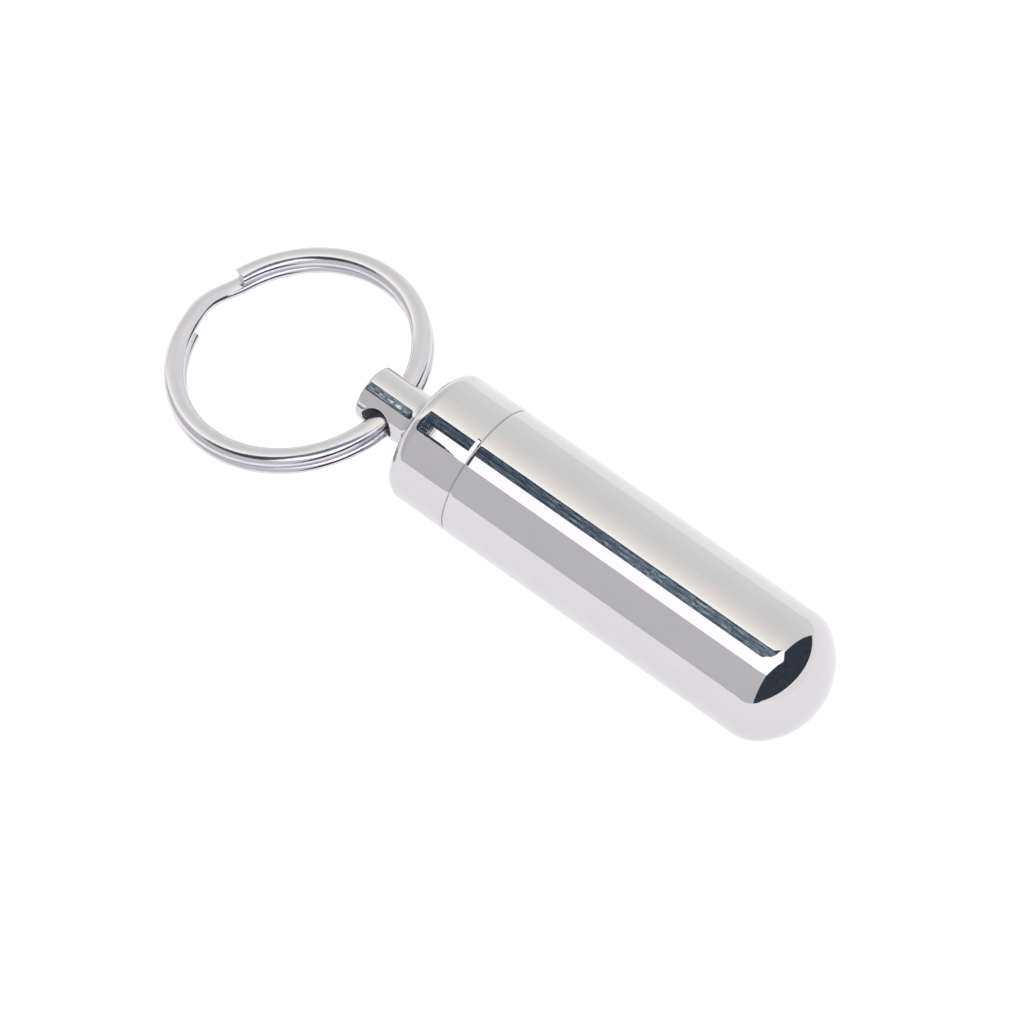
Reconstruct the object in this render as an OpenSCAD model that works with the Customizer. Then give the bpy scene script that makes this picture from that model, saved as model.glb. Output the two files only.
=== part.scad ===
// Screw-top pill fob on a split key ring.
// The fob lies along X with its cap towards -X, and the ring lies on the same surface as the barrel.
// The origin is the middle of the barrel, on its axis.

/* [Fob] */
// Outside diameter of barrel and cap
fob_d = 13.3; // [12.8:0.1:18]
// Length of the straight barrel, from the seam to the dome
barrel_len = 33; // [24:0.5:60]
// Depth of the domed end
dome_depth = 5.15; // [4.5:0.05:6]
// Radius of the arc where the dome leaves the barrel
dome_side_r = 3.5; // [2.5:0.1:4]
// Length of the cap from the seam to its front face
cap_len = 6.9; // [4:0.1:14]
// Rounding round the cap's front face
shoulder_r = 1.4; // [0.4:0.1:2]
// Rounding of the barrel's edge at the seam
mouth_round = 0.1; // [0.05:0.05:0.3]
// Length of the cap's tapered edge at the seam
taper_len = 0.45; // [0.3:0.05:1]
// How much that taper takes off the cap's radius
taper = 0.15; // [0.05:0.05:0.3]
// Width of the dark line at the seam, where the cap stands off the barrel
line_w = 0.12; // [0.05:0.01:0.2]
// Depth of that line, from the cap's edge in to its seat
line_depth = 0.4; // [0.1:0.05:0.6]

/* [Post and eye] */
// Diameter of the post on the cap
post_d = 5.4; // [4.6:0.1:6.4]
// Length of the post in front of the cap's face
post_len = 6.6; // [6.2:0.1:10]
// Rounding of the post's end
post_round = 0.3; // [0.1:0.05:0.6]
// Fillet at the foot of the post
foot_r = 1.5; // [0.5:0.1:1.8]
// Diameter of the eye drilled through the post
eye_d = 3.4; // [3.2:0.05:3.6]
// Distance from the cap's face to the middle of the eye
eye_reach = 4.1; // [3.7:0.1:4.2]
// Width of the bevel at both mouths of the eye
eye_bevel = 0.25; // [0.1:0.05:0.4]

/* [Chamber] */
// Diameter of the pill chamber
chamber_d = 10; // [8:0.1:10.2]
// Metal left between the chamber's tip and the top of the dome
tip_wall = 1.8; // [1:0.1:4]
// Point angle of the drill that makes the chamber's end
drill_angle = 118; // [90:1:140]

/* [Screw joint] */
// Diameter of the threaded mouth of the barrel, over the roots of its thread
mouth_d = 11.1; // [10.8:0.1:11.4]
// Pitch of the thread
thread_pitch = 1; // [0.5:0.25:1.25]
// Turns of thread on the spigot
thread_turns = 4; // [2:0.5:6]
// Depth of the cut thread on the spigot
thread_depth = 0.6; // [0.3:0.05:0.7]
// Length of the plain land that centres the cap in the mouth
land_len = 1; // [0.5:0.1:3]
// Radial clearance of the land in the mouth
land_gap = 0.05; // [0.02:0.01:0.1]
// Bevel at the tip of the spigot
spigot_bevel = 0.4; // [0.1:0.05:0.6]
// Free length of the mouth past the tip of the spigot
run_out = 0.7; // [0.3:0.1:2]

/* [Seal] */
// Thickness of the seal ring
seal_cord = 1; // [0.8:0.05:1.3]
// Clearance left all round the seal ring
seal_gap = 0.03; // [0.02:0.01:0.08]

/* [Split ring] */
// Outside diameter of the split ring
ring_d = 25; // [20:0.5:35]
// Width of its wire, measured along the ring's radius
wire_w = 1.9; // [1.5:0.05:2]
// Thickness of its wire, measured along the ring's axis
wire_h = 1.05; // [0.8:0.05:1.1]
// Rounding of the wire's edges
wire_round = 0.42; // [0.2:0.02:0.44]
// Gap between the two turns
turn_gap = 0.05; // [0.02:0.01:0.1]
// Where the lower turn ends, in degrees from the ring's far point
low_end = -11; // [-30:1:-5]
// Where the upper turn ends, in degrees from the ring's far point
high_end = 25; // [10:1:40]
// How far the wire bows outwards where it changes level
cross_bow = 0.35; // [0:0.05:0.6]
// Clearance between the wire and the wall of the eye that it rests on
eye_gap = 0.08; // [0.04:0.01:0.15]
// Direction from the eye's middle to where the wire rests: 0 is towards the cap, 90 is straight down
rest_dir = 30; // [0:5:90]
// How far the ring lies turned to one side
ring_yaw = 2.5; // [-5:0.5:5]

/* [Hidden] */
$fn = 128;

STEEL = [0.80, 0.80, 0.82];
RUBBER = [0.08, 0.08, 0.09];
WIRE = [0.72, 0.72, 0.74];

// Overlap that fuses touching shapes and lets a cut run past a face
fuse = 0.1;

fob_r = fob_d / 2;
post_r = post_d / 2;
eye_r = eye_d / 2;
chamber_r = chamber_d / 2;
mouth_r = mouth_d / 2;

// The dome is two tangent arcs: one beside the barrel, and a flatter one over the tip.
side_mid_r = fob_r - dome_side_r;
crown_rise = dome_depth - dome_side_r;
crown_r = (pow(side_mid_r, 2) + pow(dome_depth, 2) - pow(dome_side_r, 2)) / (2 * crown_rise);

// Spigot, from the seam inwards: the groove of the seal, the land, the thread
land_r = mouth_r - land_gap;
seal_mid_r = mouth_r - seal_gap - seal_cord / 2;
groove_r = seal_mid_r - seal_cord / 2 - seal_gap;
groove_len = seal_cord + 2 * seal_gap;
core_r = land_r - thread_depth;
land_end = groove_len + land_len;
spigot_len = land_end + thread_turns * thread_pitch;
mouth_len = spigot_len + run_out;

chamber_tip = barrel_len + dome_depth - tip_wall;
chamber_len = chamber_tip - chamber_r / tan(drill_angle / 2);

// Places along X
seam_x = -barrel_len / 2;
eye_x = seam_x - cap_len - eye_reach;

// Wire of the split ring. Its middle line is given by the angle a from the ring's far point.
WIRE_STEP = 6;
CORNER_STEPS = 3;
wire_mid_r = (ring_d - wire_w) / 2;
level = (wire_h + turn_gap) / 2;
wire_first = high_end;
wire_last = 2 * 360 + low_end;
wire_cuts = ceil((wire_last - wire_first) / WIRE_STEP);

// Share of the change from the upper to the lower level that is done at angle a
function crossing(a) = min(1, max(0, (a - 360 - low_end) / (high_end - low_end)));
function wire_level(a) = level * cos(180 * crossing(a));
function wire_r(a) = wire_mid_r + cross_bow * pow(sin(180 * crossing(a)), 2);

// Outline of the wire: a rectangle with round edges, as offsets [outwards, upwards]
corner_out = wire_w / 2 - wire_round;
corner_up = wire_h / 2 - wire_round;
wire_outline = [
    for (corner = [0:3], step = [0:CORNER_STEPS])
        let (turn = 90 * (corner + step / CORNER_STEPS))
        [
            corner_out * (corner == 0 || corner == 3 ? 1 : -1) + wire_round * cos(turn),
            corner_up * (corner < 2 ? 1 : -1) + wire_round * sin(turn)
        ]
];

// The two turns together rest against the wall of the eye.
pair_h = 2 * wire_h + turn_gap;
pair_reach = norm([corner_out, pair_h / 2 - wire_round]) + wire_round;
eye_play = eye_r - pair_reach - eye_gap;
rest_back = eye_play * cos(rest_dir);
rest_down = eye_play * sin(rest_dir);

// Points of the wire in the ring's own plane: [away from the eye, across, up]
wire_points = [
    for (i = [0:wire_cuts])
        let (a = wire_first + (wire_last - wire_first) * i / wire_cuts)
        for (p = wire_outline)
            [
                wire_mid_r - rest_back + (wire_r(a) + p[0]) * cos(a),
                (wire_r(a) + p[0]) * sin(a),
                wire_level(a) + p[1] - rest_down
            ]
];

// The ring hangs from the eye until the first of its points meets the surface under the barrel.
ring_tilt = min([
    for (p = wire_points)
        if (p[0] > fob_r) asin(fob_r / norm([p[0], p[2]])) + atan(p[2] / p[0])
]);

// The gap between the turns, measured from each point to the one that lies a turn further on
turn_gaps = [
    for (a = [wire_first:WIRE_STEP / 2:wire_last - 360])
        wire_level(a) - wire_level(a + 360) - wire_h
];
echo(least_gap_between_turns = min(turn_gaps));

// A round bar about Z, from low to high, with both rims rounded. Drawn as its half outline.
module bar_outline(r, low, high, low_round, high_round) {
    translate([0, low + low_round]) square([r, high - low - low_round - high_round]);
    translate([0, low]) square([r - low_round, low_round + fuse]);
    translate([0, high - high_round - fuse]) square([r - high_round, high_round + fuse]);
    if (low_round > 0) rim_circle(r - low_round, low + low_round, low_round);
    if (high_round > 0) rim_circle(r - high_round, high - high_round, high_round);
}

module rim_circle(r, z, round) {
    translate([r, z]) circle(r = round);
}

// The domed end above the barrel: the side arc, and the crown arc inside its wedge
module dome_outline() {
    side = [side_mid_r, barrel_len];
    crown = [0, barrel_len + dome_depth - crown_r];
    along = (side - crown) / norm(side - crown);
    rim_circle(side[0], side[1], dome_side_r);
    intersection() {
        translate(crown) circle(r = crown_r);
        polygon([crown, crown + 2 * crown_r * along, crown + [0, 2 * crown_r]]);
    }
}

// Turns an outline about the fob's axis and lays it along X, with the seam at its own zero
module turned() {
    translate([seam_x, 0, 0]) rotate([0, 90, 0]) rotate_extrude() children();
}

// Keeps the half of an outline that rotate_extrude() may turn
module right_half(reach) {
    intersection() {
        children();
        translate([0, -reach]) square([reach, 2 * reach]);
    }
}

module barrel() {
    color(STEEL) turned() difference() {
        right_half(2 * (barrel_len + dome_depth)) {
            bar_outline(fob_r, 0, barrel_len, mouth_round, 0);
            dome_outline();
        }
        translate([-fuse, -fuse]) square([mouth_r + fuse, mouth_len + fuse]);
        translate([-fuse, 0]) square([chamber_r + fuse, chamber_len]);
        drill_point();
    }
}

// The cone that the drill leaves at the end of the chamber
module drill_point() {
    polygon([
        [-fuse, chamber_len - fuse],
        [chamber_r, chamber_len - fuse],
        [chamber_r, chamber_len],
        [0, chamber_tip],
        [-fuse, chamber_tip]
    ]);
}

// Cap, post and spigot are turned in one piece, and the eye is drilled through the post.
module cap() {
    color(STEEL) difference() {
        turned() {
            right_half(2 * (cap_len + post_len)) {
                bar_outline(fob_r, -cap_len, -taper_len, shoulder_r, 0);
                bar_outline(post_r, -cap_len - post_len, -cap_len + fuse, post_round, 0);
                rear_edge();
            }
            foot_fillet();
            spigot_outline();
        }
        translate([eye_x, 0, 0]) eye_cut();
    }
}

// The cap's edge at the seam: the taper, then the line where it stands off the barrel, then its seat
module rear_edge() {
    edge_r = fob_r - taper;
    polygon([
        [0, -taper_len - fuse],
        [fob_r, -taper_len - fuse],
        [fob_r, -taper_len],
        [edge_r, -line_w],
        [edge_r - line_depth, -line_w],
        [edge_r - line_depth, 0],
        [0, 0]
    ]);
}

module foot_fillet() {
    difference() {
        translate([post_r - fuse, -cap_len - foot_r]) square([foot_r + fuse, foot_r + fuse]);
        translate([post_r + foot_r, -cap_len - foot_r]) circle(r = foot_r);
    }
}

module spigot_outline() {
    translate([0, -fuse]) square([groove_r, groove_len + 2 * fuse]);
    translate([0, groove_len]) square([land_r, land_len]);
    polygon([
        [0, land_end - fuse],
        [core_r, land_end - fuse],
        [core_r, spigot_len - spigot_bevel],
        [core_r - spigot_bevel, spigot_len],
        [0, spigot_len]
    ]);
}

module eye_cut() {
    rotate([90, 0, 0]) cylinder(r = eye_r, h = post_d + 2 * fuse, center = true);
    for (side = [-1, 1])
        rotate([side * 90, 0, 0]) translate([0, 0, post_r - eye_bevel])
            cylinder(r1 = eye_r, r2 = eye_r + eye_bevel + fuse, h = eye_bevel + fuse);
}

module o_ring() {
    color(RUBBER) turned() translate([seal_mid_r, groove_len / 2]) circle(r = seal_cord / 2);
}

// One length of wire wound twice round, as a skin over its outlines and closed at both cut ends
module split_ring() {
    n = len(wire_outline);
    sides = [
        for (i = [0:wire_cuts - 1], j = [0:n - 1])
            let (k = (j + 1) % n)
            each [
                [i * n + j, i * n + k, (i + 1) * n + k],
                [i * n + j, (i + 1) * n + k, (i + 1) * n + j]
            ]
    ];
    ends = [
        for (j = [1:n - 2])
            each [
                [0, j + 1, j],
                [wire_cuts * n, wire_cuts * n + j, wire_cuts * n + j + 1]
            ]
    ];
    color(WIRE) translate([eye_x, 0, 0]) rotate([0, 0, ring_yaw])
        rotate([0, -ring_tilt, 0]) mirror([1, 0, 0]) polyhedron(wire_points, concat(sides, ends));
}

barrel();
cap();
o_ring();
split_ring();
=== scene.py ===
"""A screw-top pill fob on its split key ring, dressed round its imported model. Sizes are in millimetres."""

import math
from collections import namedtuple

import bpy
import numpy as np
from mathutils import Matrix, Vector


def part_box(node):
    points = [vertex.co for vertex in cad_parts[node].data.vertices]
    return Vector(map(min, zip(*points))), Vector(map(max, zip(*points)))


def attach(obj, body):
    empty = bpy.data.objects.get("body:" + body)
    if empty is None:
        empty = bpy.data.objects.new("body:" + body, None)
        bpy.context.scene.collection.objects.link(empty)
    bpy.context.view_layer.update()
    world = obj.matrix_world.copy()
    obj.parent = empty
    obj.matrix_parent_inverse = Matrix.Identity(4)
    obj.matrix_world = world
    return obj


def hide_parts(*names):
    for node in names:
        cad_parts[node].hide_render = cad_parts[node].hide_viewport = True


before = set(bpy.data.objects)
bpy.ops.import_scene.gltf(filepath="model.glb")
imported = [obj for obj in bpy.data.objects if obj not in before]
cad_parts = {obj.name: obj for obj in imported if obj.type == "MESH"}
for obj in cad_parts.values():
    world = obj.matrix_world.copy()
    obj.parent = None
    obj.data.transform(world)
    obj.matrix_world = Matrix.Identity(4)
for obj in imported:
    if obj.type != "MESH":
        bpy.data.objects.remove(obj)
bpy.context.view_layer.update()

MM = 0.001
FULL = 2 * math.pi
# Lengths that differ by less than this count as equal.
TOUCH = 1e-6

# Main sizes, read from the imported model
BARREL_LOW, BARREL_HIGH = [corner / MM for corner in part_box("barrel")]
CAP_LOW, CAP_HIGH = [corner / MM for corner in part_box("cap")]
FOB_R = BARREL_HIGH.z
SEAM_X = BARREL_LOW.x
TIP_X = BARREL_HIGH.x
POST_END_X = CAP_LOW.x
SPIGOT_END_X = CAP_HIGH.x
FLOOR_Z = BARREL_LOW.z

# Barrel: its dome of two tangent arcs, its mouth, and the drilled chamber
BARREL_SEGMENTS = 256
DOME_DEPTH = 5.15
DOME_X = TIP_X - DOME_DEPTH
DOME_SIDE_R = 3.5
MOUTH_R = 5.55
MOUTH_LEAD = 0.08
MOUTH_ROUND = 0.16
# Beside its rounding, the barrel's outer edge falls by this slope over this length.
MOUTH_TILT = math.radians(4)
MOUTH_EDGE = 0.2
RUN_OUT = 0.7
MOUTH_END_X = SPIGOT_END_X + RUN_OUT
CHAMBER_R = 5.0
TIP_WALL = 1.8
DRILL_SLOPE = math.radians(118 / 2)
CHAMBER_TIP_X = TIP_X - TIP_WALL
CHAMBER_END_X = CHAMBER_TIP_X - CHAMBER_R / math.tan(DRILL_SLOPE)

# Cap: its face, its shoulder, the taper at the seam, and the dark line where it stands off the barrel
CAP_SEGMENTS = 192
CAP_LEN = 6.9
FACE_X = SEAM_X - CAP_LEN
SHOULDER_R = 1.4
TAPER_LEN = 0.45
TAPER = 0.13
EDGE_R = FOB_R - TAPER
LINE_W = 0.12
LINE_DEPTH = 0.14
SEAT_R = EDGE_R - LINE_DEPTH

# Post on the cap, and the eye through it
POST_R = 2.7
POST_ROUND = 0.3
FOOT_R = 1.5
EYE_REACH = 4.1
EYE_X = FACE_X - EYE_REACH
EYE_R = 1.7
EYE_RIM = 0.24
EYE_RIM_DEPTH = 0.3
# The window cut in the post for each mouth of the eye: along X, and to both sides in segments of the cap
WINDOW_LOW_X = POST_END_X + 0.4
WINDOW_HIGH_X = EYE_X + 2.2
WINDOW_STEPS = 43
WINDOW_HALF = 30
# Loops of faces from the window's edge to the rim, and over the rim to the bore
PATCH_LOOPS = 6
RIM_LOOPS = 8

# Seal, and the spigot from the seam inwards: the seal's groove, the land and the threaded core
SEAL_R = 0.5
SEAL_GAP = 0.03
SEAL_MID_R = MOUTH_R - SEAL_GAP - SEAL_R
SEAL_SEGMENTS = 160
CORD_SEGMENTS = 48
GROOVE_R = SEAL_MID_R - SEAL_R - SEAL_GAP
GROOVE_LEN = 2 * (SEAL_R + SEAL_GAP)
LAND_GAP = 0.05
LAND_R = MOUTH_R - LAND_GAP
LAND_LEN = 1.0
THREAD_DEPTH = 0.6
CORE_R = LAND_R - THREAD_DEPTH
SPIGOT_BEVEL = 0.4

# Thread: its ridges start at this distance from the seam, and fade out over this part of a turn
PITCH = 1.0
RIDGE_CREST = 0.12
RIDGE_SINK = 0.05
MALE_CREST_R = 5.42
FEMALE_CREST_R = 4.95
THREAD_START = 2.1
THREAD_FADE = 0.25
THREAD_STEPS = 96
FLANK_ANGLE = math.radians(30)

# Split ring, with its angles in degrees from its far point
RING_R = 12.5
WIRE_W = 1.9
WIRE_H = 1.05
WIRE_ROUND = 0.42
WIRE_MID_R = RING_R - WIRE_W / 2
TURN_GAP = 0.05
LEVEL = (WIRE_H + TURN_GAP) / 2
LOW_END = -11
HIGH_END = 23.7
CROSS_END = 25
CROSS_BOW = 0.35
CUT_ROUND = 0.16
CUT_STEPS = 5
WIRE_CUTS = 520
WIRE_STEPS = 48
# The photo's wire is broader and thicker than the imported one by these. It also lies WIRE_PLUS further
# out and up.
WIRE_PLUS = 0.08
WIRE_PLUS_H = 0.112

# The ring's two turns rest against the bore of the eye, and it leans from there to the floor.
RING_YAW = math.radians(2.5)
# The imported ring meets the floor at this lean.
RING_TILT = math.radians(13.5845)
EYE_GAP = 0.08
REST_DIR = math.radians(30)
PAIR_H = 2 * WIRE_H + TURN_GAP
PAIR_REACH = math.hypot(WIRE_W / 2 - WIRE_ROUND, PAIR_H / 2 - WIRE_ROUND) + WIRE_ROUND
EYE_PLAY = EYE_R - PAIR_REACH - EYE_GAP
REST_BACK = EYE_PLAY * math.cos(REST_DIR)
REST_DOWN = EYE_PLAY * math.sin(REST_DIR)
RING_TURN = Matrix.Rotation(RING_YAW, 3, "Z") @ Matrix.Rotation(-RING_TILT, 3, "Y")
RING_MIDDLE = Vector((EYE_X, 0, 0)) + RING_TURN @ Vector((REST_BACK - WIRE_MID_R, 0, -REST_DOWN))

# Camera: its direction from the seam's place on the floor, its distance and its shifts
AZIMUTH = math.radians(38.78)
ELEVATION = math.radians(61.0)
CAMERA_AWAY = 731.5
CAMERA_RIGHT = 2.22
CAMERA_DOWN = 0.44
FOCAL_PIXELS = 7994
IMAGE_PIXELS = 1024
SENSOR = 36
CLIP_END = 20000
BACK = Vector((
    math.sin(AZIMUTH) * math.cos(ELEVATION),
    -math.cos(AZIMUTH) * math.cos(ELEVATION),
    math.sin(ELEVATION),
))
RIGHT = Vector((math.cos(AZIMUTH), math.sin(AZIMUTH), 0))
UP = BACK.cross(RIGHT)
CAMERA = Vector((SEAM_X, 0, FLOOR_Z)) + RIGHT * CAMERA_RIGHT - UP * CAMERA_DOWN + BACK * CAMERA_AWAY

# Colours of the finishes
STEEL_COLOR = (0.601, 0.58, 0.622)
STEEL_TINT = (0.588, 0.568, 0.608)
# Painted shade for the floor of the seam's groove, where little light gets in
SEAM_SHADE = (0.55, 0.55, 0.57)
BORE_TINT = (0.6, 0.59, 0.59)
BORE_DARK = (0.3, 0.29, 0.28)
WIRE_COLOR = (0.65, 0.63, 0.69)
WIRE_TINT = (0.635, 0.615, 0.675)
WIRE_DARK = (0.52, 0.51, 0.54)
RUBBER_COLOR = (0.012, 0.012, 0.013)
RUBBER_BLOOM = (0.03, 0.03, 0.032)

# The studio is a tent of pale walls along the fob, open and dark beyond its domed end. Its colours are
# screen colours, as the polished steel shows them. A pair of places gives where a change starts and ends.

# Colours of the walls, by the angle in degrees from level on the +Y side, over the top
TENT_WALLS = [
    (0, (211, 209, 211)), (13, (207, 207, 208)), (31, (203, 203, 204)), (49, (203, 202, 203)),
    (61, (212, 207, 206)), (67, (217, 212, 209)), (73, (223, 218, 214)), (79, (230, 226, 220)),
    (85.6, (246, 246, 246)), (96, (250, 249, 244)), (103, (224, 214, 206)), (108, (190, 185, 185)),
    (127, (182, 180, 183)), (180, (181, 179, 182)),
]
# Directions that point this far to -X see shaded walls, and from END_X on they see the open end.
BACK_X = (-0.4, -0.66)
BACK_SHADE = (0.9, 0.9, 0.905)
END_X = 0.455
END_SOFT = 0.004
END_RIM = 0.012
END_RIM_SHARE = 0.6
END_RIM_COLOR = (70, 100, 170)
OPENING_DARK = (30, 36, 46)
OPENING_LIGHT = (62, 68, 76)
# The floor sweeps up in the open end, in an arch about this y, and has a warm rim.
SWEEP_COLOR = (219, 217, 220)
SWEEP_RIM_COLOR = (252, 214, 150)
SWEEP_MID_Y = 0.2
SWEEP_HALF_W = 0.95
SWEEP_TOP_Z = 0.19
SWEEP_SOFT = 0.003
SWEEP_RIM = (0.004, 0.012)

# Two cards in the tent's roof, a dark slot and a bright panel, that share an edge
ROOF_Z = 300
SHARED_EDGE = [(152, 86), (111, 53), (92, 0), (53, -37), (0, -53)]
SLOT_OUTLINE = [
    (-170, 21), (30, 21), (87, 53), (138, 75), *SHARED_EDGE,
    (0, -226), (-170, -205), (-330, -195), (-403, -165), (-403, -95), (-281, -45), (-200, -2),
]
PANEL_OUTLINE = [
    (290, 21), (238, -53), (215, -140), (200, -252), (-138, -226), (-142, -200),
    (-150, -40), (-124, -40), (-124, -80), (-60, -80), *reversed(SHARED_EDGE),
]

# Slot: its colours from dark to light, its bands, and where it darkens by its rims and its far end
SLOT_COLORS = [
    (0.0, (30, 40, 52)), (0.35, (62, 72, 86)), (0.6, (90, 102, 114)), (0.8, (120, 134, 144)),
    (1.0, (186, 198, 202)),
]
SLOT_LEVELS = (0.35, 1.2)
SLOT_BAND = 43
SLOT_BAND_Y = -5.0
SLOT_FRINGE = 22.0
SLOT_NEAR_RIM = (14, 20)
SLOT_NEAR_COLOR = (40, 46, 56)
SLOT_FAR_RIM = (-50, -40)
SLOT_FAR_COLOR = (40, 44, 54)
SLOT_LOW_RIM = (-22, -10)
SLOT_DIM_X = (-150, -160)
SLOT_DIM_COLOR = (36, 40, 48)
SHADED_WALL = (183, 181, 184)
# The same, by the x of the fob that mirrors it: lighter over the barrel, and striped over the post
SLOT_LIGHTER_X = (-22, 12)
SLOT_STRIPED_X = (-26, -25)
# Over the post the slot's low rim draws in, from its first to its second y, and it ends at SLOT_LOW_X.
SLOT_TAPER_X = (-28.9, -25.8)
SLOT_TAPER_Y = (-122, -200)
SLOT_LOW_X = (-144, -139)

# Panel: where it breaks into bars over the cap, where its far rim draws in, and where it ends by the slot
PANEL_LIGHT = (1.7, 1.7, 1.7)
PANEL_END = (-21.5, -20.2)
PANEL_END_SOFT = 0.1
BAR_LEVELS = (0.62, 0.3)
BAR_SOFT = 0.012
BAR_THIN_Y = (-150, -85)
RIM_END = (-19.3, -17.0)
RIM_Y = (-176, -212)
RIM_SOFT = (10, 14)
RIM_RAGGED = 12.0
PANEL_ROOM_X = (-123, -121)
PANEL_ROOM_Y = (-79, -77)
# Flecks of light over the post, which grow towards its foot
FLECK_X = (-29.4, -25.6)
FLECK_Y = -85
FLECK_STEP = 1.0
FLECK_LEVELS = (0.93, 0.0)
FLECK_REACH = (12, 38)

# Floor and lamp
FLOOR_HALF = 2500
PAPER_COLOR = (0.56, 0.56, 0.56)
PAPER_TINT = (0.53, 0.53, 0.535)
PAPER_GLOW = 0.76
WHITE = (1.0, 1.0, 1.0)
SOFTBOX_PLACE = (100, -200, 1200)
SOFTBOX_SIZE = 1600
SOFTBOX_WATTS = 1.2


def placed(name, data):
    """A new object in the scene."""
    made = bpy.data.objects.new(name, data)
    bpy.context.scene.collection.objects.link(made)
    return made


class Skin:
    """Points and faces, with the true normal of the surface at each corner of each face."""

    def __init__(self):
        self.points = []
        self.faces = []
        self.normals = []
        self.slots = []
        self.slot = 0

    def add(self, points):
        """Adds points and returns the index of the first."""
        first = len(self.points)
        self.points.extend(tuple(p) for p in points)
        return first

    def loop(self, points):
        """Adds points and returns the indexes of all."""
        first = self.add(points)
        return range(first, first + len(points))

    def face(self, corners, normals):
        """Adds a face that takes the material of the current slot."""
        self.faces.append(tuple(int(c) for c in corners))
        self.slots.append(self.slot)
        self.normals.extend(tuple(float(v) for v in n) for n in normals)

    def strip(self, a, b, n_a, n_b, closed=True):
        """Adds the faces between two rows of equally many points. They face the way their normals do."""
        count = len(a)
        for j in range(count if closed else count - 1):
            k = (j + 1) % count
            corners = [a[j], a[k], b[k], b[j]]
            normals = [n_a[j], n_a[k], n_b[k], n_b[j]]
            p = [np.array(self.points[c]) for c in corners]
            if np.dot(np.cross(p[2] - p[0], p[3] - p[1]), sum(np.array(n) for n in normals)) < 0:
                corners.reverse()
                normals.reverse()
            self.face(corners, normals)

    def build(self, name, *materials):
        """The piece that the skin makes, with one material for each slot."""
        mesh = bpy.data.meshes.new(name)
        mesh.from_pydata([tuple(v * MM for v in p) for p in self.points], [], self.faces)
        mesh.polygons.foreach_set("use_smooth", [True] * len(self.faces))
        mesh.normals_split_custom_set(self.normals)
        for material in materials:
            mesh.materials.append(material)
        mesh.polygons.foreach_set("material_index", self.slots)
        return placed(name, mesh)


def full_turn(steps):
    """The angles of so many steps round a circle."""
    return FULL * np.arange(steps) / steps


def line(start, end, steps=1):
    """A straight run of a half outline, with the metal on its left: its points and their normals."""
    a, b = np.array(start, float), np.array(end, float)
    heading = (b - a) / np.linalg.norm(b - a)
    share = np.linspace(0, 1, steps + 1)[:, None]
    return a + (b - a) * share, np.tile([heading[1], -heading[0]], (steps + 1, 1))


def arc(centre, r, start, end, steps):
    """A round run of a half outline. It is convex where the angle, in degrees, grows, and else hollow."""
    angle = np.radians(np.linspace(start, end, steps + 1))
    rays = np.stack([np.cos(angle), np.sin(angle)], 1)
    return np.array(centre) + r * rays, rays * (1 if end > start else -1)


# A ring of points that a lathe has turned, with the index of its first point
Ring = namedtuple("Ring", "x r first")


def lathe(skin, runs, segments, skip=None, inner=()):
    """Turns a half outline about the X axis and returns its rings.

    Faces for which skip() is true are left out. The runs numbered in inner take the second material."""
    turn = full_turn(segments)
    ray_y, ray_z = np.cos(turn), np.sin(turn)
    rings = []

    def add_ring(x, r):
        if r < TOUCH:
            rings.append(Ring(x, 0.0, skin.add([(x, 0.0, 0.0)])))
        else:
            points = np.stack([np.full(segments, x), r * ray_y, r * ray_z], 1)
            rings.append(Ring(x, r, skin.add(points)))
        return rings[-1]

    def spun(n, j):
        return n[0], n[1] * ray_y[j], n[1] * ray_z[j]

    last = None
    for number, (points, normals) in enumerate(runs):
        skin.slot = 1 if number in inner else 0
        if last is None:
            last = add_ring(*points[0])
        for i in range(1, len(points)):
            here = add_ring(*points[i])
            n_a, n_b = normals[i - 1], normals[i]
            for j in range(segments):
                k = (j + 1) % segments
                if skip and skip(last, here, j):
                    continue
                a_j, b_j = last.first + j, here.first + j
                a_k, b_k = last.first + k, here.first + k
                if last.r == 0:
                    skin.face((last.first, b_j, b_k), (spun(n_a, j), spun(n_b, j), spun(n_b, k)))
                elif here.r == 0:
                    skin.face((a_j, here.first, a_k), (spun(n_a, j), spun(n_b, j), spun(n_a, k)))
                else:
                    around = (spun(n_a, j), spun(n_b, j), spun(n_b, k), spun(n_a, k))
                    skin.face((a_j, b_j, b_k, a_k), around)
            last = here
    return rings


def dome_runs():
    """The two tangent arcs of the domed end, from its tip to the straight barrel."""
    side_mid = FOB_R - DOME_SIDE_R
    rise = DOME_DEPTH - DOME_SIDE_R
    crown_r = (side_mid ** 2 + DOME_DEPTH ** 2 - DOME_SIDE_R ** 2) / (2 * rise)
    crown_x = TIP_X - crown_r
    join = math.degrees(math.atan2(side_mid, DOME_X - crown_x))
    return [
        arc((crown_x, 0), crown_r, 0, join, steps=48),
        arc((DOME_X, side_mid), DOME_SIDE_R, join, 90, steps=40),
    ]


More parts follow.
